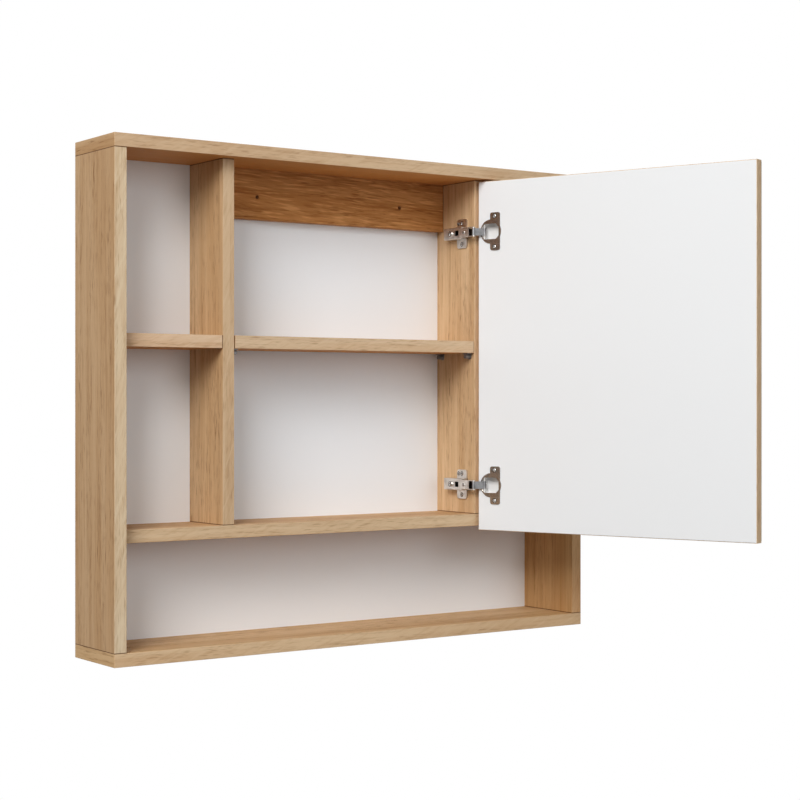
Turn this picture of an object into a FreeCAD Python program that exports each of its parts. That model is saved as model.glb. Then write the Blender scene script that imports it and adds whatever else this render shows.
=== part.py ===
import FreeCAD
import Part
import Sketcher
import os

# Wall-hung oak mirror cabinet with one overlay door on concealed cup hinges, drawn with the door open.
# Frame: +X to the right, +Y into the wall, +Z up, millimetres.
# Origin: midway between the two wall screws, on the wall plane.

doc = FreeCAD.newDocument("mirror_cabinet")
sheet = doc.addObject("Spreadsheet::Sheet", "sizes")

driving_sizes = {
    # carcass
    "width": 800,
    "height": 700,
    "depth": 120,
    "board": 18,
    "niche_width": 156,
    "open_niche": 142,
    "niche_height": 243,
    "back_board": 3,
    "rebate": 9,
    "edge_soft": 0.6,
    "rail_height": 72,
    "rail_board": 16,
    # wall screws in the hanging rail
    "screw_drop": 58,
    "screw_spacing": 250,
    "screw_hole": 5.5,
    # dowels: the short end goes across a board, the long end into the board that butts against it
    "dowel": 8,
    "dowel_short": 11,
    "dowel_long": 19,
    "dowel_edge": 22,
    "rail_dowel_edge": 16,
    # loose shelf on four supports
    "loose_shelf_rise": 243,
    "shelf_end_gap": 1.5,
    "shelf_back_gap": 2,
    "support_bore": 5,
    "support_depth": 9,
    "support_collar": 9,
    "support_collar_thick": 1.2,
    "support_nose": 6.8,
    "support_reach": 9,
    "support_tongue": 1.8,
    "support_tongue_wide": 12,
    "support_drop": 5,
    "support_edge": 12,
    # door
    "door_overlay": 17,
    "door_gap": 2,
    "door_top_gap": 3,
    "door_drop": 6,
    "door_board": 16,
    "edge_band": 2,
    "edge_round": 1.5,
    "tape": 1,
    "tape_wide": 20,
    "tape_edge": 40,
    "mirror": 3,
    "mirror_inset": 2,
    # hinge heights on the door and its full swing
    "hinge_below_top": 76,
    "hinge_above_foot": 68,
    "door_angle": 110,
    "link_swing": 40,
    # hinge cup in the door
    "cup": 35,
    "cup_inset": 22.5,
    "cup_depth": 12.5,
    "cup_wall": 1.2,
    "cup_floor": 0.8,
    "cup_lip": 0.6,
    "flange": 1.2,
    "flange_long": 57,
    "flange_start": 21.6,
    "flange_wide": 17.3,
    "flange_corner": 3.5,
    "mouth_start": 6.4,
    "mouth_long": 30.1,
    "mouth_wide": 23,
    "mouth_corner": 5,
    "cup_screw_inset": 29,
    "cup_screw_spacing": 46,
    # hinge link and its two pins
    "pin": 2.5,
    "pin_play": 0.05,
    "pin_inset": 10,
    "pin_sink": 1.3,
    "pin_skin": 0.2,
    "arm_pin_in": 9,
    "arm_pin_ahead": 9.5,
    "link_wide": 11,
    "link_thick": 1.6,
    "link_eye": 4.6,
    # hinge arm, a folded channel open towards the divider
    "arm_sheet": 1.2,
    "arm_bend": 1,
    "arm_rise": 14,
    "arm_clear": 2.8,
    "arm_wide": 17.5,
    "arm_tail": 13.5,
    "nose_wide": 14.4,
    "nose_start": 14,
    "nose_rise": 5,
    "nose_bend": 1,
    "nose_tip": 5.2,
    "web_end": 3,
    "window_start": 22,
    "window_long": 9,
    "window_wide": 8,
    # mounting plate under the arm
    "plate": 2.5,
    "plate_line": 28.5,
    "plate_wing_wide": 24,
    "plate_wing_tall": 44,
    "plate_corner": 4,
    "plate_screw_spacing": 32,
    "core_start": 33,
    "core_long": 12,
    "core_play": 0.3,
    "tongue_start": 4,
    "tongue_rise": 5,
    # hinge screws
    "wood_screw": 3.5,
    "wood_screw_head": 7,
    "wood_screw_long": 13,
    "countersink": 2,
    "arm_screw": 4,
    "arm_screw_head": 8,
    "arm_screw_head_thick": 2,
    "arm_screw_long": 9,
    "arm_screw_in": 8,
    "adjusting_screw": 5,
    "adjusting_screw_proud": 0.8,
    "adjusting_screw_line": 9,
}
for row, (word, number) in enumerate(driving_sizes.items(), start=1):
    sheet.set(f"A{row}", word)
    sheet.set(f"B{row}", str(number))
    sheet.setAlias(f"B{row}", word)
doc.recompute()

# Planes of the carcass, worked out from the driving sizes
wall = "0"
front = "(-sizes.depth)"
door_stack = "(sizes.door_board + sizes.tape + sizes.mirror)"
inner_front = f"({front} + {door_stack} + sizes.door_gap)"
back_face = "(-sizes.back_board)"
half_width = "(sizes.width / 2)"
side_face = f"({half_width} - sizes.board)"
divider_back = f"({side_face} - sizes.niche_width)"
bay_face = f"({divider_back} - sizes.board)"
crown = "sizes.screw_drop"
ceiling = f"({crown} - sizes.board)"
base = f"({crown} - sizes.height)"
floor = f"({base} + sizes.board)"
shelf_under = f"({floor} + sizes.open_niche)"
shelf_top = f"({shelf_under} + sizes.board)"
niche_level = f"({shelf_top} + sizes.niche_height)"
loose_level = f"({shelf_top} + sizes.loose_shelf_rise)"

# The door lies in its own frame: x = 0 at its hinge edge, y = 0 on its inner face, z = 0 at its foot,
# with the axes of the cabinet when it is shut
door_width = f"(2 * {bay_face} + 2 * sizes.door_overlay)"
door_foot = f"({shelf_under} - sizes.door_drop)"
door_height = f"({ceiling} - sizes.door_top_gap - {door_foot})"
hinge_heights = {
    "upper": f"({door_height} - sizes.hinge_below_top)",
    "lower": "sizes.hinge_above_foot",
}

# Hinge geometry: the link turns on the arm pin and carries the door on the cup pin.
# Shut, the link spans link_run by link_rise; open, it has swung back by link_swing.
link_run = "(sizes.door_overlay - sizes.pin_inset + sizes.arm_pin_in)"
link_rise = "(sizes.arm_pin_ahead - sizes.door_gap - sizes.pin_sink)"
link_length = f"(sqrt({link_run} ^ 2 + {link_rise} ^ 2))"
link_angle = f"(atan({link_rise} / {link_run}) - sizes.link_swing * 1 deg)"
door_turn = "(sizes.door_angle * 1 deg)"
arm_pin_x = f"({bay_face} - sizes.arm_pin_in)"
arm_pin_y = f"({inner_front} - sizes.arm_pin_ahead)"
cup_pin_x = f"({arm_pin_x} + {link_length} * cos({link_angle}))"
cup_pin_y = f"({arm_pin_y} + {link_length} * sin({link_angle}))"
door_x = f"({cup_pin_x} + sizes.pin_inset * cos({door_turn}) - sizes.pin_sink * sin({door_turn}))"
door_y = f"({cup_pin_y} + sizes.pin_inset * sin({door_turn}) + sizes.pin_sink * cos({door_turn}))"

upright = FreeCAD.Vector(0, 0, 1)
directions = {
    "+x": FreeCAD.Rotation(FreeCAD.Vector(0, 1, 0), 90),
    "+y": FreeCAD.Rotation(FreeCAD.Vector(1, 0, 0), -90),
    "-y": FreeCAD.Rotation(FreeCAD.Vector(1, 0, 0), 90),
    "+z": FreeCAD.Rotation(),
}
nodes = []


def bind(thing, expressions):
    for name, text in expressions.items():
        thing.setExpression(name, text)
    return thing


def place(thing, x, y, z):
    return bind(thing, {"Placement.Base.x": x, "Placement.Base.y": y, "Placement.Base.z": z})


def turn(thing, angle):
    thing.Placement = FreeCAD.Placement(FreeCAD.Vector(), FreeCAD.Rotation(upright, 1))
    return bind(thing, {"Placement.Rotation.Angle": angle})


def value(text):
    return float(sheet.evalExpression(text))


def block(name, across, deep, high):
    piece = doc.addObject("Part::Box", name)
    spans = {"Length": across, "Width": deep, "Height": high}
    bind(piece, {size: f"({ends[1]}) - ({ends[0]})" for size, ends in spans.items()})
    return place(piece, across[0], deep[0], high[0])


def rod(name, diameter, length, direction, x, y, z):
    piece = doc.addObject("Part::Cylinder", name)
    piece.Placement = FreeCAD.Placement(FreeCAD.Vector(), directions[direction])
    bind(piece, {"Radius": f"({diameter}) / 2", "Height": length})
    return place(piece, x, y, z)


def taper(name, first, last, length, direction, x, y, z):
    piece = doc.addObject("Part::Cone", name)
    piece.Placement = FreeCAD.Placement(FreeCAD.Vector(), directions[direction])
    bind(piece, {"Radius1": f"({first}) / 2", "Radius2": f"({last}) / 2", "Height": length})
    return place(piece, x, y, z)


def joined(name, pieces):
    whole = doc.addObject("Part::MultiFuse", name)
    whole.Shapes = pieces
    return whole


def group(name, pieces):
    bundle = doc.addObject("Part::Compound", name)
    bundle.Links = pieces
    return bundle


def carved(name, blank, tools):
    piece = doc.addObject("Part::Cut", name)
    piece.Base = blank
    piece.Tool = group(f"{name}_cuts", tools)
    return piece


def softened(name, piece, chosen):
    """Break the sharp edges of a board that pass the test."""
    doc.recompute()
    radius = value("sizes.edge_soft")
    board = doc.addObject("Part::Fillet", name)
    board.Base = piece
    board.Edges = [
        (index, radius, radius) for index, edge in enumerate(piece.Shape.Edges, start=1) if chosen(edge)
    ]
    return board


def lies_on(edge, axis, place):
    """True if both ends of an edge lie on a plane across one axis."""
    return all(abs(getattr(corner.Point, axis) - place) < 1e-6 for corner in edge.Vertexes)


def front_edge(edge, face):
    """True for a long edge of a board's front face."""
    return lies_on(edge, "y", face) and edge.Length > 2 * value("sizes.board")


def node(piece, name):
    piece.Label = name
    nodes.append(piece)
    return piece


def hang(piece):
    """Swing a piece from the shut door's frame to the open door."""
    return place(turn(piece, door_turn), door_x, door_y, door_foot)


def span(side, near, far):
    """Ends along X of a piece that lies from near to far on the left (-1) or the right (1)."""
    return (near, far) if side > 0 else (f"-({far})", f"-({near})")


def even(half):
    return (f"-({half})", half)


# Sketch helpers for the pressed hinge parts

def new_sketch(body, name, plane):
    sketch = body.newObject("Sketcher::SketchObject", name)
    support = [feature for feature in body.Origin.OriginFeatures if feature.Role == plane]
    sketch.AttachmentSupport = [(support[0], "")]
    sketch.MapMode = "FlatFace"
    return sketch


def fix_point(sketch, geometry, point, x, y):
    for kind, text in (("DistanceX", x), ("DistanceY", y)):
        index = sketch.addConstraint(Sketcher.Constraint(kind, -1, 1, geometry, point, value(text)))
        sketch.setExpression(f"Constraints[{index}]", text)


def outline(body, name, plane, corners):
    sketch = new_sketch(body, name, plane)
    points = [FreeCAD.Vector(value(x), value(y), 0) for x, y in corners]
    for index, start in enumerate(points):
        sketch.addGeometry(Part.LineSegment(start, points[(index + 1) % len(points)]))
    for index, (x, y) in enumerate(corners):
        after = (index + 1) % len(corners)
        sketch.addConstraint(Sketcher.Constraint("Coincident", index, 2, after, 1))
        fix_point(sketch, index, 1, x, y)
    return sketch


def disc(body, name, plane, diameter, x, y):
    sketch = new_sketch(body, name, plane)
    radius = f"({diameter}) / 2"
    centre = FreeCAD.Vector(value(x), value(y), 0)
    circle = sketch.addGeometry(Part.Circle(centre, upright, value(radius)))
    fix_point(sketch, circle, 3, x, y)
    index = sketch.addConstraint(Sketcher.Constraint("Radius", circle, value(radius)))
    sketch.setExpression(f"Constraints[{index}]", radius)
    return sketch


def feature(body, kind, sketch, length, side="One side", reverse=False):
    step = body.newObject(kind, f"{sketch.Name}_{kind.split('::')[1].lower()}")
    step.Profile = sketch
    step.SideType = side
    step.Reversed = reverse
    step.setExpression("Length", length)
    doc.recompute()
    return step


def pad(body, sketch, length, **options):
    return feature(body, "PartDesign::Pad", sketch, length, **options)


def pocket(body, sketch, length, **options):
    before = body.Shape.Volume
    step = feature(body, "PartDesign::Pocket", sketch, length, **options)
    if body.Shape.Volume > before - 1e-3:
        raise ValueError(f"{sketch.Label} cuts nothing")
    return step


def round_edges(body, radius, chosen):
    """Fillet the edges of a body that pass the test."""
    last = body.Tip
    names = [f"Edge{index}" for index, edge in enumerate(last.Shape.Edges, start=1) if chosen(edge)]
    step = body.newObject("PartDesign::Fillet", f"{last.Name}_rounded")
    step.Base = (last, names)
    step.setExpression("Radius", radius)
    doc.recompute()
    return step


# Carcass boards before they are bored
blanks = {
    "top_panel": block("top_blank", even(half_width), (front, wall), (ceiling, crown)),
    "bottom_panel": block("bottom_blank", even(half_width), (front, wall), (base, floor)),
    "long_shelf": block(
        "long_shelf_blank", even(side_face), (inner_front, back_face), (shelf_under, shelf_top)
    ),
    "hanging_rail": block(
        "rail_blank",
        even(bay_face),
        (f"{back_face} - sizes.rail_board", back_face),
        (f"{ceiling} - sizes.rail_height", ceiling),
    ),
    "back_panel": block(
        "back_blank",
        even(f"({side_face} + sizes.rebate)"),
        (back_face, wall),
        (f"{floor} - sizes.rebate", f"{ceiling} + sizes.rebate"),
    ),
}
sides = {"left": -1, "right": 1}
for word, side in sides.items():
    blanks[f"{word}_side_panel"] = block(
        f"{word}_side_blank", span(side, side_face, half_width), (front, wall), (floor, ceiling)
    )
    blanks[f"{word}_divider"] = block(
        f"{word}_divider_blank",
        span(side, bay_face, divider_back),
        (inner_front, back_face),
        (shelf_top, ceiling),
    )
    blanks[f"{word}_niche_shelf"] = block(
        f"{word}_niche_shelf_blank",
        span(side, divider_back, side_face),
        (inner_front, back_face),
        (niche_level, f"{niche_level} + sizes.board"),
    )
cuts = {board: [] for board in blanks}

# The back panel lies in a rebate of the outer frame
for board in ("top_panel", "bottom_panel", "left_side_panel", "right_side_panel"):
    cuts[board].append(blanks["back_panel"])

# Two holes for the wall screws go through the rail and the back panel
for word, side in sides.items():
    hole = rod(
        f"{word}_wall_hole",
        "sizes.screw_hole",
        "sizes.rail_board + sizes.back_board",
        "+y",
        f"{side} * sizes.screw_spacing / 2",
        f"{back_face} - sizes.rail_board",
        "0",
    )
    cuts["hanging_rail"].append(hole)
    cuts["back_panel"].append(hole)

# Dowels across every butt joint of the carcass
dowels = []
dowel_length = "(sizes.dowel_short + sizes.dowel_long)"
dowel_lines = (f"({inner_front} + sizes.dowel_edge)", f"({back_face} - sizes.dowel_edge)")


def dowel_start(joint, short_side):
    behind = "sizes.dowel_long" if short_side > 0 else "sizes.dowel_short"
    return f"({joint} - {behind})"


def add_dowel(boards, direction, x, y, z):
    pin = rod(f"dowel_{len(dowels)}", "sizes.dowel", dowel_length, direction, x, y, z)
    dowels.append(pin)
    for board in boards:
        cuts[board].append(pin)


for word, side in sides.items():
    side_panel = f"{word}_side_panel"
    divider = f"{word}_divider"
    niche_shelf = f"{word}_niche_shelf"
    side_middle = f"{side} * ({side_face} + sizes.board / 2)"
    divider_middle = f"{side} * ({bay_face} + sizes.board / 2)"
    long_shelf_middle = f"({shelf_under} + sizes.board / 2)"
    niche_middle = f"({niche_level} + sizes.board / 2)"
    into_side = dowel_start(f"{side} * {side_face}", side)
    into_divider = dowel_start(f"{side} * {divider_back}", -side)
    rail_into_divider = dowel_start(f"{side} * {bay_face}", side)
    for y in dowel_lines:
        add_dowel((side_panel, "top_panel"), "+z", side_middle, y, dowel_start(ceiling, 1))
        add_dowel((side_panel, "bottom_panel"), "+z", side_middle, y, dowel_start(floor, -1))
        add_dowel((divider, "top_panel"), "+z", divider_middle, y, dowel_start(ceiling, 1))
        add_dowel((divider, "long_shelf"), "+z", divider_middle, y, dowel_start(shelf_top, -1))
        add_dowel(("long_shelf", side_panel), "+x", into_side, y, long_shelf_middle)
        add_dowel((niche_shelf, side_panel), "+x", into_side, y, niche_middle)
        add_dowel((niche_shelf, divider), "+x", into_divider, y, niche_middle)
    rail_middle = f"{back_face} - sizes.rail_board / 2"
    rail_foot = f"{ceiling} - sizes.rail_height"
    for z in (f"{rail_foot} + sizes.rail_dowel_edge", f"{ceiling} - sizes.rail_dowel_edge"):
        add_dowel(("hanging_rail", divider), "+x", rail_into_divider, rail_middle, z)
node(group("carcass_dowels", dowels), "carcass_dowels")

# Shelf supports: a pin in the divider, a collar, a nose and a flat tongue under the loose shelf
supports = []
support_z = f"({loose_level} - sizes.support_drop)"
support_lines = {
    "front": f"({inner_front} + sizes.support_edge)",
    "rear": f"({back_face} - sizes.shelf_back_gap - sizes.support_edge)",
}
collar_face = f"({bay_face} - sizes.support_collar_thick)"
nose_end = f"({bay_face} - sizes.support_reach)"
support_rounds = {
    "pin": ("sizes.support_bore", bay_face, f"({bay_face} + sizes.support_depth)"),
    "collar": ("sizes.support_collar", collar_face, bay_face),
    "nose": ("sizes.support_nose", nose_end, collar_face),
}
for word, side in sides.items():
    for line, y in support_lines.items():
        name = f"{word}_{line}_support"
        pieces = []
        for part, (diameter, near, far) in support_rounds.items():
            start = span(side, near, far)[0]
            pieces.append(rod(f"{name}_{part}", diameter, f"{far} - {near}", "+x", start, y, support_z))
        pieces.append(block(
            f"{name}_tongue",
            span(side, nose_end, collar_face),
            (f"{y} - sizes.support_tongue_wide / 2", f"{y} + sizes.support_tongue_wide / 2"),
            (f"{loose_level} - sizes.support_tongue", loose_level),
        ))
        supports.append(joined(name, pieces))
        cuts[f"{word}_divider"].append(supports[-1])
node(group("shelf_supports", supports), "shelf_supports")

# Loose shelf
shelf_end = f"({bay_face} - sizes.shelf_end_gap)"
loose_blank = block(
    "loose_shelf_blank",
    even(shelf_end),
    (inner_front, f"{back_face} - sizes.shelf_back_gap"),
    (loose_level, f"{loose_level} + sizes.board"),
)
shelf_face = value(inner_front)
loose_shelf = softened("loose_shelf", loose_blank, lambda edge: front_edge(edge, shelf_face))
node(loose_shelf, "loose_shelf")

# Hinge parts that stay on the cabinet, in a frame at the divider's inner front corner
plate_screws = []
arm_screws = []
adjusting_screws = []
arm_pins = []
hinge_levels = {word: f"({door_foot} + {height})" for word, height in hinge_heights.items()}
pin_across = "-sizes.arm_pin_in"
pin_ahead = "-sizes.arm_pin_ahead"
web_face = "-sizes.arm_rise"
web_inside = "(sizes.arm_sheet - sizes.arm_rise)"
arm_inside = "(sizes.arm_wide - 2 * sizes.arm_sheet)"
nose_inside = "(sizes.nose_wide - 2 * sizes.arm_sheet)"
core_end = "(sizes.core_start + sizes.core_long)"
arm_back = f"({core_end} + sizes.arm_tail)"
arm_screw_line = "(sizes.core_start + sizes.arm_screw_in)"


def hinge_body(name, level):
    return place(doc.addObject("PartDesign::Body", name), bay_face, inner_front, level)


def from_corner(x, y):
    return f"{bay_face} + ({x})", f"{inner_front} + ({y})"


def wood_screw(name, direction, x, y, z, tip_x, tip_y):
    """Countersunk screw: the head starts at x, y, z and the shank at tip_x, tip_y."""
    shank_length = "sizes.wood_screw_long - sizes.countersink"
    wide = "sizes.wood_screw_head"
    thin = "sizes.wood_screw"
    head = taper(f"{name}_head", wide, thin, "sizes.countersink", direction, x, y, z)
    shank = rod(f"{name}_shank", thin, shank_length, direction, tip_x, tip_y, z)
    return joined(name, [head, shank])


def mounting_plate(word, level, fixings):
    """Cross plate: two wings on the divider, a core that the arm is screwed to and a front tongue."""
    body = hinge_body(f"{word}_plate_body", level)
    half_wide = "sizes.plate_wing_wide / 2"
    tall = "sizes.plate_wing_tall / 2"
    near = f"sizes.plate_line - {half_wide}"
    far = f"sizes.plate_line + {half_wide}"
    wings = outline(body, f"{word}_wings", "YZ_Plane", [
        (near, f"-{tall}"),
        (far, f"-{tall}"),
        (far, tall),
        (near, tall),
    ])
    pad(body, wings, "sizes.plate", reverse=True)
    round_edges(body, "sizes.plate_corner", lambda edge: abs(edge.tangentAt(edge.FirstParameter).x) > 0.9)
    core_half = f"({arm_inside} / 2 - sizes.core_play)"
    core = outline(body, f"{word}_core", "YZ_Plane", [
        ("sizes.core_start", f"-{core_half}"),
        (core_end, f"-{core_half}"),
        (core_end, core_half),
        ("sizes.core_start", core_half),
    ])
    pad(body, core, f"-{web_inside}", reverse=True)
    tongue_half = f"({nose_inside} / 2 - sizes.core_play)"
    tongue = outline(body, f"{word}_tongue", "YZ_Plane", [
        ("sizes.tongue_start", f"-{tongue_half}"),
        ("sizes.core_start", f"-{tongue_half}"),
        ("sizes.core_start", tongue_half),
        ("sizes.tongue_start", tongue_half),
    ])
    pad(body, tongue, "sizes.tongue_rise", reverse=True)
    node(carved(f"{word}_mounting_plate", body, fixings), f"{word}_mounting_plate")


def hinge_arm(word, level, fixings):
    """Folded arm: a wide rear part, a narrower nose that tapers to the pin, hollow towards the divider."""
    body = hinge_body(f"{word}_arm_body", level)
    clear = "-sizes.arm_clear"
    rear = outline(body, f"{word}_arm_rear", "XY_Plane", [
        (clear, "sizes.nose_start"),
        (clear, arm_back),
        (web_face, arm_back),
        (web_face, "sizes.nose_start"),
    ])
    pad(body, rear, "sizes.arm_wide", side="Symmetric")
    tip = "sizes.nose_tip / 2"
    nose = outline(body, f"{word}_arm_nose", "XY_Plane", [
        ("-sizes.nose_rise", "sizes.nose_start"),
        (web_face, "sizes.nose_start"),
        (web_face, "-sizes.nose_bend"),
        (f"{pin_across} - {tip}", pin_ahead),
        (f"{pin_across} + {tip}", pin_ahead),
    ])
    pad(body, nose, "sizes.nose_wide", side="Symmetric")
    end = disc(body, f"{word}_arm_tip", "XY_Plane", "sizes.nose_tip", pin_across, pin_ahead)
    pad(body, end, "sizes.nose_wide", side="Symmetric")
    web_place = value(web_face)
    round_edges(
        body,
        "sizes.arm_bend",
        lambda edge: lies_on(edge, "x", web_place) and abs(edge.tangentAt(edge.FirstParameter).y) > 0.9,
    )
    rear_hollow = outline(body, f"{word}_arm_rear_hollow", "XY_Plane", [
        ("0", "sizes.nose_start"),
        ("0", arm_back),
        (web_inside, arm_back),
        (web_inside, "sizes.nose_start"),
    ])
    pocket(body, rear_hollow, arm_inside, side="Symmetric")
    beyond = f"{pin_ahead} - sizes.nose_tip"
    nose_hollow = outline(body, f"{word}_arm_nose_hollow", "XY_Plane", [
        ("0", "sizes.nose_start"),
        (web_inside, "sizes.nose_start"),
        (web_inside, "-sizes.web_end"),
        (f"{web_face} - sizes.arm_sheet", "-sizes.web_end"),
        (f"{web_face} - sizes.arm_sheet", beyond),
        ("0", beyond),
    ])
    pocket(body, nose_hollow, nose_inside, side="Symmetric")
    window_end = "sizes.window_start + sizes.window_long"
    window = outline(body, f"{word}_arm_window", "YZ_Plane", [
        ("sizes.window_start", "-sizes.window_wide / 2"),
        (window_end, "-sizes.window_wide / 2"),
        (window_end, "sizes.window_wide / 2"),
        ("sizes.window_start", "sizes.window_wide / 2"),
    ])
    pocket(body, window, "sizes.arm_rise + sizes.arm_sheet")
    node(carved(f"{word}_hinge_arm", body, fixings), f"{word}_hinge_arm")


def hinge_link(word, level):
    """Broad link: a plate with an eye rolled at each end, running on the arm pin and the cup pin."""
    body = turn(doc.addObject("PartDesign::Body", f"{word}_link_body"), link_angle)
    place(body, arm_pin_x, arm_pin_y, level)
    edge = "sizes.link_thick / 2"
    plate = outline(
        body,
        f"{word}_link_plate",
        "XY_Plane",
        [("0", f"-{edge}"), (link_length, f"-{edge}"), (link_length, edge), ("0", edge)],
    )
    pad(body, plate, "sizes.link_wide", side="Symmetric")
    for end, x in (("arm", "0"), ("cup", link_length)):
        eye = disc(body, f"{word}_link_{end}_eye", "XY_Plane", "sizes.link_eye", x, "0")
        pad(body, eye, "sizes.link_wide", side="Symmetric")
    for end, x in (("arm", "0"), ("cup", link_length)):
        bore = disc(body, f"{word}_link_{end}_bore", "XY_Plane", "sizes.pin + 2 * sizes.pin_play", x, "0")
        pocket(body, bore, "2 * sizes.link_wide", side="Symmetric")
    node(body, f"{word}_hinge_link")


for word, level in hinge_levels.items():
    plate_x, plate_y = from_corner("-sizes.plate", "sizes.plate_line")
    shank_x, shank_y = from_corner("sizes.countersink - sizes.plate", "sizes.plate_line")
    for end in (-1, 1):
        z = f"{level} + {end} * sizes.plate_screw_spacing / 2"
        name = f"{word}_plate_screw_{end + 1}"
        plate_screws.append(wood_screw(name, "+x", plate_x, plate_y, z, shank_x, shank_y))
        cuts["right_divider"].append(plate_screws[-1])
    head_x, screw_y = from_corner(f"{web_face} - sizes.arm_screw_head_thick", arm_screw_line)
    stem_x = from_corner(web_face, "0")[0]
    head = rod(
        f"{word}_arm_screw_head",
        "sizes.arm_screw_head", "sizes.arm_screw_head_thick", "+x", head_x, screw_y, level,
    )
    stem = rod(
        f"{word}_arm_screw_stem",
        "sizes.arm_screw", "sizes.arm_screw_long", "+x", stem_x, screw_y, level,
    )
    arm_screws.append(joined(f"{word}_arm_screw", [head, stem]))
    proud_x, adjust_y = from_corner(f"{web_face} - sizes.adjusting_screw_proud", "sizes.adjusting_screw_line")
    adjust_length = "sizes.arm_rise + sizes.adjusting_screw_proud - sizes.tongue_rise"
    adjusting_screws.append(
        rod(f"{word}_adjusting_screw", "sizes.adjusting_screw", adjust_length, "+x", proud_x, adjust_y, level)
    )
    pin_foot = f"{level} - sizes.nose_wide / 2"
    arm_pins.append(
        rod(f"{word}_arm_pin", "sizes.pin", "sizes.nose_wide", "+z", arm_pin_x, arm_pin_y, pin_foot)
    )
    mounting_plate(word, level, plate_screws[-2:] + arm_screws[-1:])
    hinge_arm(word, level, [arm_screws[-1], adjusting_screws[-1], arm_pins[-1]])
    hinge_link(word, level)
node(group("plate_screws", plate_screws), "plate_screws")
node(group("arm_screws", arm_screws), "arm_screws")
node(group("adjusting_screws", adjusting_screws), "adjusting_screws")
node(group("arm_pins", arm_pins), "arm_pins")

# Bored carcass boards with softened front edges, and softened outer corners on the frame
outer_faces = {"top_panel": value(crown), "bottom_panel": value(base)}
frame_face = value(front)
frame_end = value(half_width)


def end_edge(board, edge):
    """True for an outer edge at one end of the top or bottom panel."""
    if board not in outer_faces:
        return False
    at_end = lies_on(edge, "x", frame_end) or lies_on(edge, "x", -frame_end)
    return at_end and (lies_on(edge, "z", outer_faces[board]) or lies_on(edge, "y", frame_face))


for board, blank in blanks.items():
    bored = carved(f"{board}_bored", blank, cuts[board])
    if board == "back_panel":
        node(bored, board)
        continue
    face = value(f"{blank.Name}.Placement.Base.y")
    node(softened(board, bored, lambda edge: front_edge(edge, face) or end_edge(board, edge)), board)

# Door: a white board with oak edge bands, and a mirror taped to its outer face
band_in = "-sizes.edge_band"
band_out = f"(sizes.edge_band - {door_width})"
board_front = "-sizes.door_board"
core_high = ("sizes.edge_band", f"{door_height} - sizes.edge_band")
door_blank = block("door_blank", (band_out, band_in), (board_front, "0"), core_high)
door_cuts = []

band_spans = {
    "hinge": ((band_in, "0"), ("0", door_height)),
    "free": ((f"-{door_width}", band_out), ("0", door_height)),
    "foot": ((band_out, band_in), ("0", "sizes.edge_band")),
    "head": ((band_out, band_in), (f"{door_height} - sizes.edge_band", door_height)),
}
bands = []
for word, (across, high) in band_spans.items():
    strip = block(f"{word}_strip", across, (board_front, "0"), high)
    doc.recompute()
    outer = strip.Shape.BoundBox
    middle = FreeCAD.Vector(-value(door_width) / 2, 0, value(door_height) / 2)
    far_x = max((outer.XMin, outer.XMax), key=lambda x: abs(x - middle.x))
    far_z = max((outer.ZMin, outer.ZMax), key=lambda z: abs(z - middle.z))
    along = "z" if word in ("hinge", "free") else "x"
    rounds = []
    for index, edge in enumerate(strip.Shape.Edges, start=1):
        centre = edge.CenterOfMass
        outermost = abs(centre.x - far_x) if along == "z" else abs(centre.z - far_z)
        if outermost < 1e-6 and abs(getattr(edge.tangentAt(edge.FirstParameter), along)) > 0.9:
            rounds.append((index, value("sizes.edge_round"), value("sizes.edge_round")))
    band = doc.addObject("Part::Fillet", f"{word}_band")
    band.Base = strip
    band.Edges = rounds
    bands.append(band)
node(hang(group("door_edge_bands", bands)), "door_edge_bands")

mirror_out = f"(sizes.mirror_inset - {door_width})"
mirror_back = f"({board_front} - sizes.tape)"
mirror_high = ("sizes.mirror_inset", f"{door_height} - sizes.mirror_inset")
mirror_deep = (f"{mirror_back} - sizes.mirror", mirror_back)
glass = block("mirror_glass", (mirror_out, "-sizes.mirror_inset"), mirror_deep, mirror_high)
node(hang(group("mirror", [glass])), "mirror")
tape_middles = ("-sizes.tape_edge", f"-{door_width} / 2", f"(sizes.tape_edge - {door_width})")
tapes = [
    block(
        f"tape_{index}",
        (f"{x} - sizes.tape_wide / 2", f"{x} + sizes.tape_wide / 2"),
        (mirror_back, board_front),
        ("sizes.tape_edge", f"{door_height} - sizes.tape_edge"),
    )
    for index, x in enumerate(tape_middles)
]
node(hang(group("mirror_tapes", tapes)), "mirror_tapes")

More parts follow.
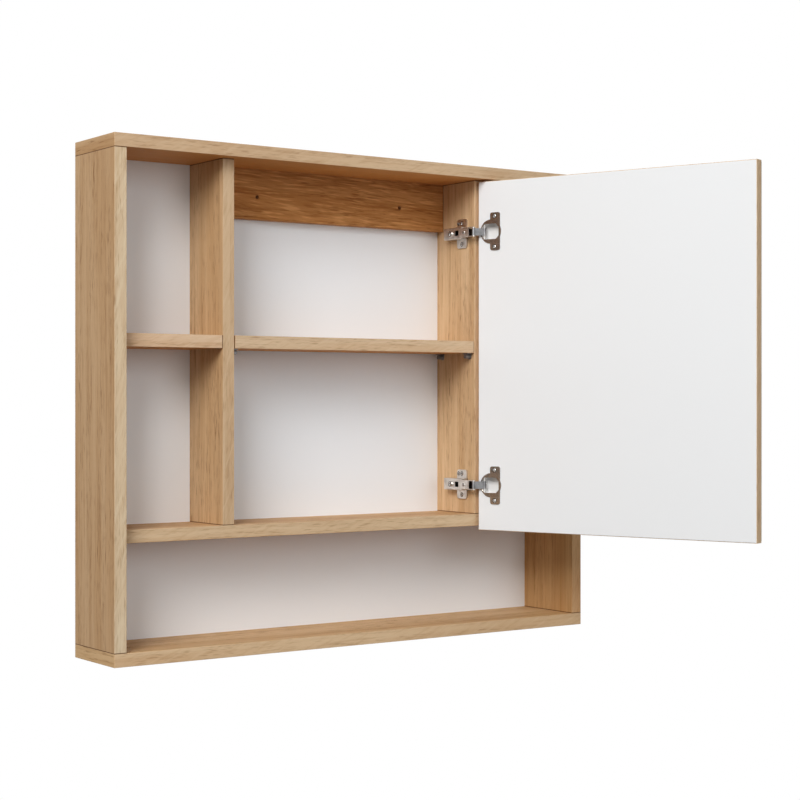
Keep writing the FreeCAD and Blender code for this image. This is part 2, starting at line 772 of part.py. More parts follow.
# Hinge cups: a drawn cup in the door board, with a flange, an eight-sided mouth and the link's pin
cup_screws = []
cup_pins = []
cup_middle = "-sizes.cup_inset"
pin_reach = "(sizes.cup / 2 - sizes.pin_skin)"
pin_edge = "(sizes.cup_inset - sizes.pin_inset + sizes.pin / 2)"
pin_half = f"(sqrt({pin_reach} ^ 2 - {pin_edge} ^ 2))"
for word, height in hinge_heights.items():
    body = place(doc.addObject("PartDesign::Body", f"{word}_cup_body"), "0", "0", height)
    bowl = disc(body, f"{word}_cup_bowl", "XZ_Plane", "sizes.cup", cup_middle, "0")
    pad(body, bowl, "sizes.cup_depth")
    flange_end = "-(sizes.flange_start + sizes.flange_wide)"
    flange_half = "sizes.flange_long / 2"
    flange = outline(body, f"{word}_cup_flange", "XZ_Plane", [
        ("-sizes.flange_start", f"-{flange_half}"),
        ("-sizes.flange_start", flange_half),
        (flange_end, flange_half),
        (flange_end, f"-{flange_half}"),
    ])
    pad(body, flange, "sizes.flange", reverse=True)
    flange_tip = value(flange_half)
    round_edges(
        body,
        "sizes.flange_corner",
        lambda edge: len(edge.Vertexes) == 2
        and abs(edge.tangentAt(edge.FirstParameter).y) > 0.9
        and abs(abs(edge.CenterOfMass.z) - flange_tip) < 1e-6,
    )
    lip = disc(body, f"{word}_cup_lip", "XZ_Plane", "sizes.cup + 2 * sizes.cup_lip", cup_middle, "0")
    pad(body, lip, "sizes.flange", reverse=True)
    hollow = disc(body, f"{word}_cup_hollow", "XZ_Plane", "sizes.cup - 2 * sizes.cup_wall", cup_middle, "0")
    pocket(body, hollow, "sizes.cup_depth - sizes.cup_floor", reverse=True)
    near = "-sizes.mouth_start"
    far = f"({near} - sizes.mouth_long)"
    half = "sizes.mouth_wide / 2"
    corner = "sizes.mouth_corner"
    mouth = outline(body, f"{word}_cup_mouth", "XZ_Plane", [
        (near, f"{corner} - {half}"),
        (near, f"{half} - {corner}"),
        (f"{near} - {corner}", half),
        (f"{far} + {corner}", half),
        (far, f"{half} - {corner}"),
        (far, f"{corner} - {half}"),
        (f"{far} + {corner}", f"-{half}"),
        (f"{near} - {corner}", f"-{half}"),
    ])
    pocket(body, mouth, "2 * sizes.flange")
    for end in (-1, 1):
        z = f"{height} + {end} * sizes.cup_screw_spacing / 2"
        x = "-sizes.cup_screw_inset"
        name = f"{word}_cup_screw_{end + 1}"
        shank_y = "sizes.flange - sizes.countersink"
        cup_screws.append(wood_screw(name, "-y", x, "sizes.flange", z, x, shank_y))
    cup_pins.append(rod(
        f"{word}_cup_pin",
        "sizes.pin",
        f"2 * {pin_half}",
        "+z",
        "-sizes.pin_inset",
        "-sizes.pin_sink",
        f"{height} - {pin_half}",
    ))
    cup = carved(f"{word}_hinge_cup", body, cup_screws[-2:] + cup_pins[-1:])
    node(hang(cup), f"{word}_hinge_cup")
    bore = rod(f"{word}_cup_bore", "sizes.cup", "sizes.cup_depth", "-y", cup_middle, "0", height)
    door_cuts += [bore] + cup_screws[-2:]
node(hang(group("cup_screws", cup_screws)), "cup_screws")
node(hang(group("cup_pins", cup_pins)), "cup_pins")
node(hang(carved("door_board", door_blank, door_cuts)), "door_board")

doc.recompute()
for thing in doc.Objects:
    if "Invalid" in thing.State or "Error" in thing.State:
        raise ValueError(f"{thing.Label} failed: {thing.State}")
for piece in nodes:
    if piece.Shape.isNull() or not piece.Shape.isValid() or not piece.Shape.Solids:
        raise ValueError(f"{piece.Label} has no sound solid")

os.makedirs("parts", exist_ok=True)
for piece in nodes:
    piece.Shape.exportStep(f"parts/{piece.Label}.step")
print(len(nodes), "nodes written")
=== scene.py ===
import math

import bpy
import numpy as np
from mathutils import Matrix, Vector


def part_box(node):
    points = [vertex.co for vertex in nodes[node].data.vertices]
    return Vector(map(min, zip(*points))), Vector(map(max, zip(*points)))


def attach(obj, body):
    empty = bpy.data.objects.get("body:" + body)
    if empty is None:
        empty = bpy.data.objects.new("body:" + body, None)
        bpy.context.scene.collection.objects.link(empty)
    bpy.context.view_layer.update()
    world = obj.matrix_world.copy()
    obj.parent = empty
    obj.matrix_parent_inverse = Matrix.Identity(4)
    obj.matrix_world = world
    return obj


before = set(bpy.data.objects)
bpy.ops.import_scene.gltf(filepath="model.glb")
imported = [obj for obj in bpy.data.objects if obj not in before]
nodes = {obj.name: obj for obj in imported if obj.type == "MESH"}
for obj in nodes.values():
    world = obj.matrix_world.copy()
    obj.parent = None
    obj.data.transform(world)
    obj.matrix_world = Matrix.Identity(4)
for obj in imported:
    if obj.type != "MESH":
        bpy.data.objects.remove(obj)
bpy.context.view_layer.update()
scene = bpy.context.scene
scene.view_settings.view_transform = "Standard"
print("frame loaded:", len(nodes), "nodes")


# camera at the photograph's viewing angle
camera = dict(place=(-1.42727, -2.23553, -0.292), yaw=35.02, lens=80.1, sensor=36, farthest=60)

lensData = bpy.data.cameras.new("photoCamera")
lensData.lens = camera["lens"]
lensData.sensor_width = camera["sensor"]
lensData.clip_end = camera["farthest"]
eye = bpy.data.objects.new("photoCamera", lensData)
eye.location = camera["place"]
eye.rotation_euler = (math.pi / 2, 0, -math.radians(camera["yaw"]))
scene.collection.objects.link(eye)
scene.camera = eye
print("camera set")


# shader maths: a wrapped socket adds a Math node when it meets an operator
class Flow:
    def __init__(self, graph, socket):
        self.graph = graph
        self.socket = socket

    def join(self, operation, first, second):
        return self.graph.node("ShaderNodeMath", {"operation": operation}, {0: first, 1: second})

    def __add__(self, other):
        return self.join("ADD", self, other)

    def __radd__(self, other):
        return self.join("ADD", other, self)

    def __sub__(self, other):
        return self.join("SUBTRACT", self, other)

    def __rsub__(self, other):
        return self.join("SUBTRACT", other, self)

    def __mul__(self, other):
        return self.join("MULTIPLY", self, other)

    def __rmul__(self, other):
        return self.join("MULTIPLY", other, self)

    def __gt__(self, other):
        return self.join("GREATER_THAN", self, other)

    def __lt__(self, other):
        return self.join("LESS_THAN", self, other)

    def __abs__(self):
        return self.join("ABSOLUTE", self, 0.0)

    def most(self, other):
        return self.join("MAXIMUM", self, other)

    def least(self, other):
        return self.join("MINIMUM", self, other)


class Graph:
    def __init__(self, tree):
        self.nodes = tree.nodes
        self.links = tree.links

    # any node: its type, its settings, then the values or links of its sockets
    def node(self, kind, settings=None, inputs=None, out=0):
        made = self.nodes.new(kind)
        for word, setting in (settings or {}).items():
            setattr(made, word, setting)
        for word, entry in (inputs or {}).items():
            self.feed(made.inputs[word], entry)
        return Flow(self, made.outputs[out])

    def feed(self, socket, entry):
        if isinstance(entry, Flow):
            self.links.new(entry.socket, socket)
        else:
            socket.default_value = entry

    def axes(self, output):
        source = self.node("ShaderNodeTexCoord", out=output)
        return [self.node("ShaderNodeSeparateXYZ", None, {0: source}, axis) for axis in "XYZ"]

    def point(self):  # the place on the piece
        return self.axes("Object")

    def facing(self):  # the way its surface looks
        return self.axes("Normal")

    def noise(self, x, y, z, detail=2.0, rough=0.5):
        at = self.node("ShaderNodeCombineXYZ", None, {0: x, 1: y, 2: z})
        return self.node("ShaderNodeTexNoise", {"noise_dimensions": "3D"},
                         {"Vector": at, "Scale": 1.0, "Detail": detail, "Roughness": rough})

    def evenNoise(self, at, scale, detail=2.0, rough=0.5):  # one scale in all directions
        return self.noise(*[axis * scale for axis in at], detail, rough)

    def spread(self, amount, low, high):  # smooth step from low to high, as 0 to 1
        return self.node("ShaderNodeMapRange", {"interpolation_type": "SMOOTHSTEP"},
                         {"Value": amount, "From Min": low, "From Max": high})

    def blend(self, amount, first, second):  # a Mix node's colours go in at 6 and 7 and come out at 2
        return self.node("ShaderNodeMix", {"data_type": "RGBA"}, {0: amount, 6: first, 7: second}, 2)

    def bump(self, height, strength, depth):
        return self.node("ShaderNodeBump", None, {"Strength": strength, "Distance": depth, "Height": height})


class Finish(Graph):
    def __init__(self, name):
        self.material = bpy.data.materials.new(name)
        self.material.use_nodes = True
        super().__init__(self.material.node_tree)
        self.shader = self.nodes["Principled BSDF"]

    def set(self, sockets):
        for word, entry in sockets.items():
            self.feed(self.shader.inputs[word], entry)
        return self.material


noiseMiddle = 0.5  # a noise strays evenly to both sides of it


def shade(red, green, blue, tint=1.0):  # a screen colour, 0 to 255, as the linear colour a shader takes
    screen = np.array([red, green, blue]) / 255
    line = np.where(screen <= 0.04045, screen / 12.92, ((screen + 0.055) / 1.055) ** 2.4) * np.array(tint)
    return (*line.tolist(), 1.0)


def wear(node, material):
    nodes[node].data.materials.clear()
    nodes[node].data.materials.append(material)


def meshPoints(node):
    flat = np.empty(len(nodes[node].data.vertices) * 3)
    nodes[node].data.vertices.foreach_get("co", flat)
    return flat.reshape(-1, 3)


# the open door: its directions, and where its inner face and its edges lie along them
pastSquare = math.radians(20)
doorAlong = np.array([math.sin(pastSquare), -math.cos(pastSquare), 0.0])
doorOut = np.array([math.cos(pastSquare), math.sin(pastSquare), 0.0])
doorFace = float((meshPoints("door_board") @ doorOut).min())
bandReach = meshPoints("door_edge_bands") @ doorAlong
doorEdge, doorEnd = float(bandReach.min()), float(bandReach.max())
doorFoot, doorTop = (corner.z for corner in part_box("door_edge_bands"))


# oak: noise drawn out along the grain as stripes, growth lines, streaks and pores; front edges carry a
# paler band
oak = dict(
    face=dict(light=(216, 179, 140), warm=(200, 158, 115), deep=(168, 123, 78), pore=(122, 80, 45)),
    band=dict(light=(232, 210, 178), warm=(222, 194, 159), deep=(194, 158, 118), pore=(150, 113, 76)),
    layers=dict(  # scale along the grain, scale across it, detail, roughness
        drift=(2.4, 9, 2.0, 0.5), stripe=(1.3, 34, 3.0, 0.55), growth=(3.2, 120, 2.0, 0.6),
        streak=(8, 190, 2.0, 0.6), fleck=(46, 640, 2.0, 0.5), fine=(120, 2300, 1.0, 0.5),
        patch=(5, 18, 2.0, 0.5)),
    ranges=dict(  # where each of them sets in
        stripe=(0.32, 0.68), growth=(0.44, 0.72), streak=(0.5, 0.74), fleck=(0.53, 0.7), fine=(0.52, 0.72),
        clump=(0.8, 1.16), paleRay=(0.53, 0.68), darkRay=(0.45, 0.32), turned=(-0.75, -0.9),
        seam=(0.0015, 0.0006)),
    shares=dict(growth=0.7, hair=0.16, pores=0.64, lessOnBand=0.2, under=0.75, seam=0.92),
    bandRay=dict(lean=(0.93, 0.37), across=230, lift=(1.0, 1.0, 1.0), pale=0.42, dark=0.2),
    railRay=dict(lean=(0.998, -0.06), across=300, lift=(1.4, 1.5, 1.6), pale=0.6, dark=0.55),
    rayAlong=24, raySeed=1.7, seedStep=(0.37, 0.113, 0.071), endFacing=0.6, innerFacing=-0.9,
    # under: the deeper tone painted on undersides as shade; shares' under sets how strongly
    under=(214, 140, 68), seamTint=0.5, bandThick=0.0021, lap=0.0008, lapWhite=(240, 242, 244),
    rough=dict(plain=0.48, pores=0.2, growth=0.1), dents=dict(pores=0.7, hair=0.35, growth=0.25),
    bump=(0.22, 0.0006), specular=0.1)


def oakFinish(name, grain, seed, figure, sway, faceTint, bandTint, ends):
    made = Finish(name)
    x, y, z = made.point()
    nx, ny, nz = made.facing()
    ranges, shares, rough, dents = oak["ranges"], oak["shares"], oak["rough"], oak["dents"]
    if grain == "door":  # bands: upright along the sides, level along the head and foot
        along = x * doorAlong[0] + y * doorAlong[1]
        level = 1 - (z > doorFoot + oak["bandThick"]) * (z < doorTop - oak["bandThick"])
        u = z + (along - z) * level
        v = along + (z - along) * level
        w = x * doorOut[0] + y * doorOut[1]
        rim = (along - doorEdge).least(doorEnd - along).least((z - doorFoot).least(doorTop - z))
        lapped = (rim > oak["lap"]) * (nx * doorOut[0] + ny * doorOut[1] < oak["innerFacing"])
    elif grain == "z":
        u, v, w = z, y, x
    else:  # ends of level boards carry a band whose grain runs from front to back
        end = abs(nx) > oak["endFacing"]
        u = x + (y - x) * end
        v = y + (z - y) * end
        w = z + (x - z) * end

    # the door's bands are band all over, the rail is face all over
    band = made.spread(ny, *ranges["turned"]) if faceTint and bandTint else float(faceTint is None)

    def tone(word):
        parts = (("face", faceTint), ("band", bandTint))
        tints = [shade(*oak[part][word], tint) for part, tint in parts if tint]
        return made.blend(band, *tints) if len(tints) == 2 else tints[0]

    def layer(word):  # noise on the grain's own axes, as they stand at the call
        lengthwise, crosswise, detail, coarse = oak["layers"][word]
        return made.noise(u * lengthwise, v * crosswise, w * crosswise, detail, coarse)

    reach = u
    u, v, w = (axis + seed * step for axis, step in zip((u, v, w), oak["seedStep"]))
    drift = (layer("drift") - noiseMiddle) * sway
    v, w = v + drift, w + drift
    growth = layer("growth")
    clump = made.spread(layer("patch") + growth, *ranges["clump"])
    pores = made.spread(layer("fleck"), *ranges["fleck"]) * clump
    hair = made.spread(layer("fine"), *ranges["fine"])
    colour = made.blend(made.spread(layer("stripe"), *ranges["stripe"]), tone("light"), tone("warm"))
    rings = made.spread(growth, *ranges["growth"]) * (figure * shares["growth"])
    colour = made.blend(rings, colour, tone("deep"))
    colour = made.blend(made.spread(layer("streak"), *ranges["streak"]) * figure, colour, tone("deep"))
    colour = made.blend(hair * shares["hair"], colour, tone("deep"))
    colour = made.blend(pores * (shares["pores"] - band * shares["lessOnBand"]), colour, tone("pore"))

    # slanting rays show on the bands, and all over the rail
    if bandTint:
        part, tint, share, rays = "band", bandTint, band, oak["bandRay"]
    else:
        part, tint, share, rays = "face", faceTint, 1.0, oak["railRay"]
    run, lean = rays["lean"]
    side = v + w
    ray = made.noise((u * run + side * lean) * oak["rayAlong"], (side * run - u * lean) * rays["across"],
                     seed * oak["raySeed"])
    pale = shade(*oak[part]["light"], np.multiply(tint, rays["lift"]))
    colour = made.blend(made.spread(ray, *ranges["paleRay"]) * (share * rays["pale"]), colour, pale)
    dark = shade(*oak[part]["deep"], tint)
    colour = made.blend(made.spread(ray, *ranges["darkRay"]) * (share * rays["dark"]), colour, dark)

    if grain == "x" and bandTint:  # painted shade: undersides get a deeper, more saturated tone
        paintedUnderShade = made.spread(nz, *ranges["turned"]) * shares["under"]
        colour = made.blend(paintedUnderShade, colour, shade(*oak["under"], faceTint))
    if ends:  # the dark line where the board meets its neighbour
        gap = (reach - ends[0]).least(ends[1] - reach)
        seam = made.spread(gap, *ranges["seam"]) * shares["seam"]
        colour = made.blend(seam, colour, shade(*oak["face"]["pore"], oak["seamTint"]))
    if grain == "door":  # the white coat laps over the inner rim
        colour = made.blend(lapped, colour, shade(*oak["lapWhite"]))
    height = 1 - pores * dents["pores"] - hair * dents["hair"] - growth * dents["growth"]
    return made.set({"Base Color": colour, "Specular IOR Level": oak["specular"],
                     "Roughness": rough["plain"] + pores * rough["pores"] + growth * rough["growth"],
                     "Normal": made.bump(height, *oak["bump"])})


oakBoards = {  # grain, seed, figure, sway, tint of the faces, tint of the front band
    "top_panel": ("x", 1, 0.34, 0.014, (0.88, 0.88, 0.84), (0.8, 0.73, 0.68)),
    "bottom_panel": ("x", 2, 0.34, 0.012, (0.96, 0.98, 0.9), (0.88, 0.8, 0.72)),
    "long_shelf": ("x", 3, 0.34, 0.012, (0.92, 0.92, 0.88), (0.85, 0.79, 0.73)),
    "left_niche_shelf": ("x", 4, 0.34, 0.014, (0.9, 0.88, 0.84), (0.92, 0.85, 0.84)),
    "right_niche_shelf": ("x", 5, 0.34, 0.014, (0.9, 0.88, 0.84), (0.9, 0.83, 0.8)),
    "loose_shelf": ("x", 6, 0.34, 0.014, (0.9, 0.88, 0.84), (0.85, 0.8, 0.77)),
    # painted shade: the rail's dark, saturated face tint stands in for the top panel's shadow over it
    "hanging_rail": ("x", 7, 0.85, 0.03, (0.76, 0.54, 0.32), None),
    "left_side_panel": ("z", 8, 0.42, 0.012, (0.86, 0.87, 0.85), (0.92, 0.95, 0.97)),
    # painted shade: the right side panel's deeper, redder tints on face and band stand in for the shade of
    # the open door
    "right_side_panel": ("z", 9, 0.42, 0.012, (0.86, 0.8, 0.64), (0.79, 0.6, 0.45)),
    "left_divider": ("z", 10, 0.42, 0.014, (0.96, 1.0, 0.98), (0.82, 0.77, 0.73)),
    "right_divider": ("z", 11, 0.42, 0.014, (1.0, 1.06, 1.08), (0.98, 0.88, 0.8)),
    "door_edge_bands": ("door", 12, 0.3, 0.01, None, (0.92, 0.88, 0.84)),
}
openEnded = ["top_panel", "bottom_panel", "loose_shelf", "door_edge_bands"]
for board, (grain, *looks) in oakBoards.items():
    ends = None if board in openEnded else [getattr(corner, grain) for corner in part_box(board)]
    wear(board, oakFinish("oak_" + board, grain, *looks, ends))
print("oak boards finished:", len(oakBoards))


# white coatings: satin on the door board, matte on the back panel, whose rear is bare hardboard
coating = dict(drift=5, driftShare=0.5, driftTint=0.965, driftRough=0.08, peel=1100, peelBump=0.06,
               specular=0.4, bare=(172, 136, 98), bareDark=(146, 110, 76), fibres=(620, 4.0, 0.65),
               fibreRange=(0.34, 0.7), specks=2400, speckShare=0.5, rearFacing=0.5, rearRough=0.2)
coats = {  # material, colour, roughness, depth of the peel, bare rear
    "door_board": ("satinWhite", (240, 242, 244), 0.34, 0.0003, False),
    "back_panel": ("matteWhite", (241, 244, 248), 0.58, 0.0004, True),
}


def whiteFinish(name, white, plainRough, peelDepth, bareRear):
    made = Finish(name)
    at = made.point()
    drift = made.evenNoise(at, coating["drift"])
    peel = made.evenNoise(at, coating["peel"])
    colour = made.blend(drift * coating["driftShare"], shade(*white), shade(*white, coating["driftTint"]))
    rough = plainRough + drift * coating["driftRough"]
    if bareRear:
        rear = made.facing()[1] > coating["rearFacing"]
        speck = (made.evenNoise(at, coating["specks"]) - noiseMiddle) * coating["speckShare"]
        fibre = made.spread(made.evenNoise(at, *coating["fibres"]) + speck, *coating["fibreRange"])
        bare = made.blend(fibre, shade(*coating["bare"]), shade(*coating["bareDark"]))
        colour = made.blend(rear, colour, bare)
        rough = rough + rear * coating["rearRough"]
    return made.set({"Base Color": colour, "Roughness": rough, "Specular IOR Level": coating["specular"],
                     "Normal": made.bump(peel, coating["peelBump"], peelDepth)})


for board, coat in coats.items():
    wear(board, whiteFinish(*coat))
print("white boards finished:", len(coats))


# hinge steel: fine rolled lines and small cloudy changes of gloss; the bowls of the cups are coloured plain
# white inside
perMetre = 1000  # millimetres
hingeLevels = (-39, -420)  # heights of the two hinges, in millimetres
# gap: a near-black used as painted shade, under the hinge arms and in the screw recesses
plating = dict(nickel=(222, 218, 213), nickelDull=(196, 190, 184), dark=(198, 194, 189),
               darkDull=(170, 165, 160), satin=(150, 150, 151), satinDull=(128, 128, 129),
               zinc=(222, 222, 221), gap=(40, 36, 32), bowlWhite=(238, 237, 236),
               lines=(400, 60, 1500), lineRough=0.05, lineBump=(0.05, 0.0002),
               clouds=(130, 3.0), cloudRange=(0.35, 0.7), cloudRough=0.12, bowlStart=0.0002, bowlRough=0.2,
               lane=0.0078, laneRough=0.3)
metals = {  # bright colour, dull colour, roughness, white bowl, painted shade lane, and the pieces that wear it
    "nickel": ("nickel", "nickelDull", 0.28, False, False, ["upper_hinge_arm", "lower_hinge_arm"]),
    "plateNickel": ("nickel", "nickelDull", 0.28, False, True,
                    ["upper_mounting_plate", "lower_mounting_plate"]),
    "satinNickel": ("satin", "satinDull", 0.45, False, False,
                    ["shelf_supports", "upper_hinge_link", "lower_hinge_link"]),
    "whiteBowlNickel": ("dark", "darkDull", 0.15, True, False, ["upper_hinge_cup", "lower_hinge_cup"]),
    "zinc": ("zinc", "nickel", 0.14, False, False,
             ["plate_screws", "arm_screws", "adjusting_screws", "arm_pins", "cup_screws", "cup_pins"]),
}


def metalFinish(name, bright, dull, plainRough, whiteBowl, paintedLane):
    made = Finish(name)
    x, y, z = made.point()
    lines = made.noise(*[axis * scale for axis, scale in zip((x, y, z), plating["lines"])])
    clouds = made.evenNoise((x, y, z), *plating["clouds"])
    cloudy = made.spread(clouds, *plating["cloudRange"])
    colour = made.blend(cloudy, shade(*plating[bright]), shade(*plating[dull]))
    rough = plainRough + clouds * plating["cloudRough"] + lines * plating["lineRough"]
    metal = 1.0
    if whiteBowl:  # past the door's inner face lies the bowl, coloured plain white and not metal
        bowl = x * doorOut[0] + y * doorOut[1] > doorFace + plating["bowlStart"]
        colour = made.blend(bowl, colour, shade(*plating["bowlWhite"]))
        rough = rough + bowl * plating["bowlRough"]
        metal = 1 - bowl
    if paintedLane:  # painted shade: the lane under each arm, in the arm's shadow, is painted in the dark gap colour
        middle = sum(hingeLevels) / 2 / perMetre
        apart = (hingeLevels[0] - hingeLevels[1]) / 2 / perMetre
        lane = abs(abs(z - middle) - apart) < plating["lane"]
        colour = made.blend(lane, colour, shade(*plating["gap"]))
        rough = rough + lane * plating["laneRough"]
    return made.set({"Base Color": colour, "Metallic": metal, "Roughness": rough,
                     "Normal": made.bump(lines, *plating["lineBump"])})


for name, (*looks, wearers) in metals.items():
    steel = metalFinish(name, *looks)
    for node in wearers:
        wear(node, steel)
print("hinges finished:", len(metals), "metals")


# screw and nail heads, in millimetres
headForm = dict(rings=16, spokes=48, arm=0.13, armReach=0.5, soft=0.08, crown=0.72, foot=0.08, sink=0.3)
headKinds = {  # radius, dome, depth of the recess, turn of the recess
    "plate": (3.5, 0.9, 0.7, 0.5), "cam": (3.2, 0.9, 0.7, 1.1), "arm": (3.9, 0.8, 0.7, 0.3),
    "adjusting": (2.4, 0.5, 0.45, 0.8), "cup": (3.5, 0.9, 0.7, 0.6), "nail": (2.1, 0.0, 0.0, 0.0),
}
bayHardware = [  # kind of head, x, y, and height above the hinge's level
    ("plate", 205.5, -69.5, -16), ("plate", 205.5, -69.5, 16), ("cam", 205.5, -61.4, 16),
    ("arm", 192, -57, 0), ("adjusting", 193.2, -89, 0),
]
cupHardware = dict(inset=29, rises=(-23, 23), flange=1.2)
nailHardware = dict(inset=5, step=115)
headLook = dict(clouds=700, rough=0.13, cloudRough=0.1, recessRough=0.4, recessMetal=0.6)


# a head as a surface over (r, angle): height = foot + dome * (1 - (r / crown)^2) - recess * cross(r, angle)
# inside the crown, a flat ring of height foot round it, then straight down into its seat
def headSurface(seat, across, outward, radius, dome, recess, turn):
    r = np.linspace(0, 1, headForm["rings"] + 1)[1:]
    angle = np.linspace(0, 2 * np.pi, headForm["spokes"], endpoint=False)
    r, angle = np.meshgrid(r, angle, indexing="ij")
    p, q = np.abs(r * np.cos(angle - turn)), np.abs(r * np.sin(angle - turn))

    def within(limit, distance):
        return np.clip((limit - distance) / headForm["soft"] + 0.5, 0, 1)

    cross = np.maximum(within(headForm["arm"], q) * within(headForm["armReach"], p),
                       within(headForm["arm"], p) * within(headForm["armReach"], q)) * (recess > 0)
    height = headForm["foot"] + dome * (1 - np.minimum(r / headForm["crown"], 1) ** 2) - recess * cross
    ring = (1 - within(headForm["crown"], r)) * (recess > 0)
    upward = np.cross(outward, across)
    flat = radius * r[..., None] * (np.cos(angle)[..., None] * across + np.sin(angle)[..., None] * upward)
    edge = flat[-1] - headForm["sink"] * outward
    rings = np.concatenate([flat + height[..., None] * outward, edge[None]])
    poles = np.array([(headForm["foot"] + dome - recess) * outward, -headForm["sink"] * outward])
    # painted shade: the cross recess and the flat ring round the crown are marked for the dark gap colour
    shadeMarks = np.concatenate([np.maximum(cross, ring).ravel(), ring[-1], [float(recess > 0), ring[-1, 0]]])
    points = (np.concatenate([rings.reshape(-1, 3), poles]) + seat) / perMetre
    return points, shadeMarks


def headFaces(first):  # quads between rings, then a fan of triangles at each pole
    spokes, rings = headForm["spokes"], headForm["rings"] + 1
    here = np.arange(spokes)
    after = (here + 1) % spokes
    start = (np.arange(rings - 1) * spokes)[:, None]
    quads = np.stack([start + here, start + here + spokes, start + after + spokes, start + after], -1)
    last = (rings - 1) * spokes
    top = np.stack([np.full(spokes, rings * spokes), here, after], -1)
    under = np.stack([np.full(spokes, rings * spokes + 1), last + after, last + here], -1)
    return (quads.reshape(-1, 4) + first).tolist() + (top + first).tolist() + (under + first).tolist()


def headFinish():
    made = Finish("headSteel")
    recess = made.node("ShaderNodeAttribute", {"attribute_name": "recess"}, None, "Fac")
    clouds = made.evenNoise(made.point(), headLook["clouds"])
    steel = made.blend(clouds, shade(*plating["zinc"]), shade(*plating["dark"]))
    rough = headLook["rough"] + clouds * headLook["cloudRough"] + recess * headLook["recessRough"]
    # painted shade: marked recesses and rings take the dark gap colour, with less metal and more roughness
    return made.set({"Base Color": made.blend(recess, steel, shade(*plating["gap"])),
                     "Metallic": 1 - recess * headLook["recessMetal"], "Roughness": rough})


def headPiece(name, heads, body):
    points, shadeMarks, faces = [], [], []
    for head in heads:
        faces += headFaces(sum(map(len, points)))
        made, mark = headSurface(*head)
        points.append(made)
        shadeMarks.append(mark)
    mesh = bpy.data.meshes.new(name)
    mesh.from_pydata(np.concatenate(points).tolist(), [], faces)
    recess = mesh.attributes.new("recess", "FLOAT", "POINT")
    recess.data.foreach_set("value", np.concatenate(shadeMarks).astype(np.float32))
    mesh.polygons.foreach_set("use_smooth", np.ones(len(mesh.polygons), bool))
    mesh.materials.append(headSteel)
    piece = bpy.data.objects.new(name, mesh)
    scene.collection.objects.link(piece)
    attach(piece, body)


headSteel = headFinish()
towardsBay, upright, rearward = np.array([-1.0, 0, 0]), np.array([0, 0, 1.0]), np.array([0, 1.0, 0])
cupSeat = (doorAlong * (doorEdge * perMetre + cupHardware["inset"])
           + doorOut * (doorFace * perMetre - cupHardware["flange"]))
bayHeads = [((x, y, level + rise), upright, towardsBay, *headKinds[kind])
            for level in hingeLevels for kind, x, y, rise in bayHardware]
doorHeads = [(cupSeat + upright * (level + rise), upright, -doorOut, *headKinds["cup"])
             for level in hingeLevels for rise in cupHardware["rises"]]
headPiece("hingeScrewHeads", bayHeads, "cabinet")
headPiece("cupScrewHeads", doorHeads, "door")

# nails round the rear of the back panel
backLow, backHigh = (np.array(corner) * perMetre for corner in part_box("back_panel"))
left, right = backLow[0] + nailHardware["inset"], backHigh[0] - nailHardware["inset"]
foot, head = backLow[2] + nailHardware["inset"], backHigh[2] - nailHardware["inset"]
across = np.linspace(left, right, round((right - left) / nailHardware["step"]) + 1)
rising = np.linspace(foot, head, round((head - foot) / nailHardware["step"]) + 1)[1:-1]
nailSpots = [(x, z) for x in across for z in (foot, head)] + [(x, z) for z in rising for x in (left, right)]
nails = [((x, backHigh[1], z), upright, rearward, *headKinds["nail"]) for x, z in nailSpots]
headPiece("backNails", nails, "cabinet")
print("screw heads and nails made:", len(bayHeads) + len(doorHeads), len(nails))


# mirror: silvered face, green-grey ground edge, painted back
glass = dict(silver=(229, 235, 236), edge=(126, 158, 148), paint=(92, 98, 104), facing=0.9, haze=(9, 3.0),
             hazeTint=0.97, frost=900, faceRough=0.012, edgeRough=0.26, frostRough=0.2)


def mirrorFinish():
    made = Finish("mirrorGlass")
    nx, ny = made.facing()[:2]
    at = made.point()
    outward = nx * doorOut[0] + ny * doorOut[1]
    face = outward > glass["facing"]
    rear = outward < -glass["facing"]
    haze = made.evenNoise(at, *glass["haze"])
    frost = made.evenNoise(at, glass["frost"])
    silver = made.blend(haze, shade(*glass["silver"]), shade(*glass["silver"], glass["hazeTint"]))
    body = made.blend(rear, shade(*glass["edge"]), shade(*glass["paint"]))
    rough = face * glass["faceRough"] + (1 - face) * (glass["edgeRough"] + frost * glass["frostRough"])
    return made.set({"Base Color": made.blend(face, body, silver), "Metallic": face, "Roughness": rough})


wear("mirror", mirrorFinish())


# foam tape behind the mirror
foam = dict(grey=(58, 58, 60), pale=(82, 82, 84), cells=900.0, rough=0.85, cellRough=0.1, bump=(0.3, 0.0004))


def foamFinish():
    made = Finish("foamTape")
    at = made.node("ShaderNodeTexCoord", out="Object")
    cells = made.node("ShaderNodeTexVoronoi", None, {"Vector": at, "Scale": foam["cells"]})
    return made.set({"Base Color": made.blend(cells, shade(*foam["grey"]), shade(*foam["pale"])),
                     "Roughness": foam["rough"] - cells * foam["cellRough"],
                     "Normal": made.bump(cells, *foam["bump"])})


wear("mirror_tapes", foamFinish())


# beech dowels inside the joints
beech = dict(pale=(206, 172, 128), dark=(178, 138, 94), flakes=(320, 320, 90), detail=3.0,
             flakeRange=(0.4, 0.7), rough=0.6, flakeRough=0.15, bump=(0.2, 0.0004))


def beechFinish():
    made = Finish("beech")
    flake = made.noise(*[axis * scale for axis, scale in zip(made.point(), beech["flakes"])], beech["detail"])
    flaky = made.spread(flake, *beech["flakeRange"])
    return made.set({"Base Color": made.blend(flaky, shade(*beech["pale"]), shade(*beech["dark"])),
                     "Roughness": beech["rough"] + flake * beech["flakeRough"],
                     "Normal": made.bump(flake, *beech["bump"])})


wear("carcass_dowels", beechFinish())
print("mirror, tape and dowels finished")


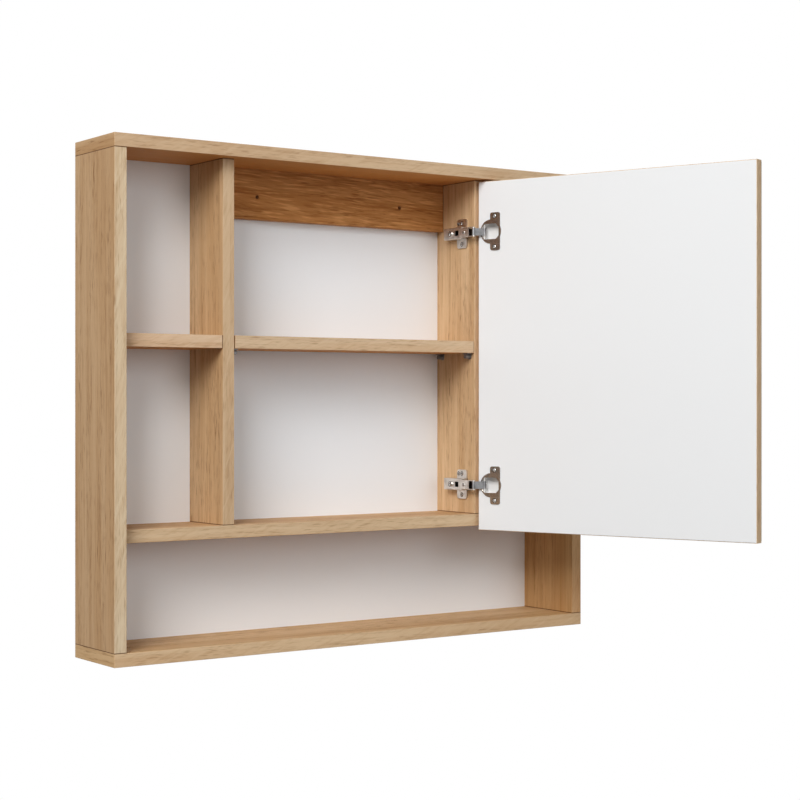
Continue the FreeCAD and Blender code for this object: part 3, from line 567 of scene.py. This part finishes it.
# floor and white surround: white to the eye, to gloss and to glass, a soft grey to other rays
room = dict(floorLevel=-1.35, floorHalf=14.0, floorGrey=(0.2, 0.2, 0.2, 1), floorPale=(0.95, 0.95, 0.95, 1),
            floorRough=0.9, shadowReach=(0.8, 1.9), shadowShare=0.45, ambient=0.235,
            ambientTint=(1, 0.94, 0.86, 1))


def whiteToEye(graph, plain, glow, seen):
    shine = graph.node("ShaderNodeLightPath", out="Is Glossy Ray")
    passing = graph.node("ShaderNodeLightPath", out="Is Transmission Ray")
    white = graph.node(glow, None, {"Color": (1, 1, 1, 1), "Strength": 1.0})
    return graph.node("ShaderNodeMixShader", None, {0: seen.most(shine).most(passing), 1: plain, 2: white})


half, level = room["floorHalf"], room["floorLevel"]
corners = [(-half, -half, level), (half, -half, level), (half, half, level), (-half, half, level)]
floorMesh = bpy.data.meshes.new("floor")
floorMesh.from_pydata(corners, [], [(0, 1, 2, 3)])
floor = bpy.data.objects.new("floor", floorMesh)
scene.collection.objects.link(floor)
ground = Finish("floorWhite")
x, y = ground.point()[:2]
away = ground.node("ShaderNodeMath", {"operation": "SQRT"}, {0: x * x + y * y})
camSeen = ground.node("ShaderNodeLightPath", out="Is Camera Ray")
fade = ground.spread(away, *room["shadowReach"])  # the shadow is kept near the object
shadow = room["shadowShare"] - fade * room["shadowShare"]
floorColour = ground.blend(camSeen, room["floorGrey"], room["floorPale"])
ground.set({"Base Color": floorColour, "Roughness": room["floorRough"]})
plainFloor = Flow(ground, ground.shader.outputs[0])
shown = whiteToEye(ground, plainFloor, "ShaderNodeEmission", camSeen * (1 - shadow))
fromBelow = ground.node("ShaderNodeNewGeometry", out="Backfacing")
clear = ground.node("ShaderNodeBsdfTransparent")
shown = ground.node("ShaderNodeMixShader", None, {0: fromBelow, 1: shown, 2: clear})  # clear from underneath
ground.feed(ground.nodes["Material Output"].inputs["Surface"], shown)
floorMesh.materials.append(ground.material)

world = bpy.data.worlds.new("studio")
scene.world = world
world.use_nodes = True
sky = Graph(world.node_tree)
dim = sky.node("ShaderNodeBackground", None, {"Color": room["ambientTint"], "Strength": room["ambient"]})
shown = whiteToEye(sky, dim, "ShaderNodeBackground", sky.node("ShaderNodeLightPath", out="Is Camera Ray"))
sky.feed(sky.nodes["World Output"].inputs["Surface"], shown)

softboxes = {  # place, aim, width, height, watts, seen in gloss; the mirror shows the plain surround
    "keyBox": ((-3.15, -2.47, 2.07), (0.0, -0.1, -0.3), 2.2, 2.2, 174, True),
    "fillBox": ((0.3, -4.0, 0.5), (0.0, -0.1, -0.3), 2.4, 1.8, 30, False),
    "rearBox": ((2.6, 3.0, 1.6), (0.0, -0.1, -0.3), 2.2, 2.2, 120, False),
}
for name, (place, aim, wide, tall, watts, glossy) in softboxes.items():
    lamp = bpy.data.lights.new(name, "AREA")
    lamp.shape = "RECTANGLE"
    lamp.size = wide
    lamp.size_y = tall
    lamp.energy = watts
    box = bpy.data.objects.new(name, lamp)
    box.location = place
    towards = np.array(aim) - np.array(place)
    flat = math.hypot(towards[0], towards[1])
    box.rotation_euler = (math.pi / 2 + math.atan2(towards[2], flat), 0, math.atan2(-towards[0], towards[1]))
    box.visible_glossy = glossy
    scene.collection.objects.link(box)
print("floor and light set")
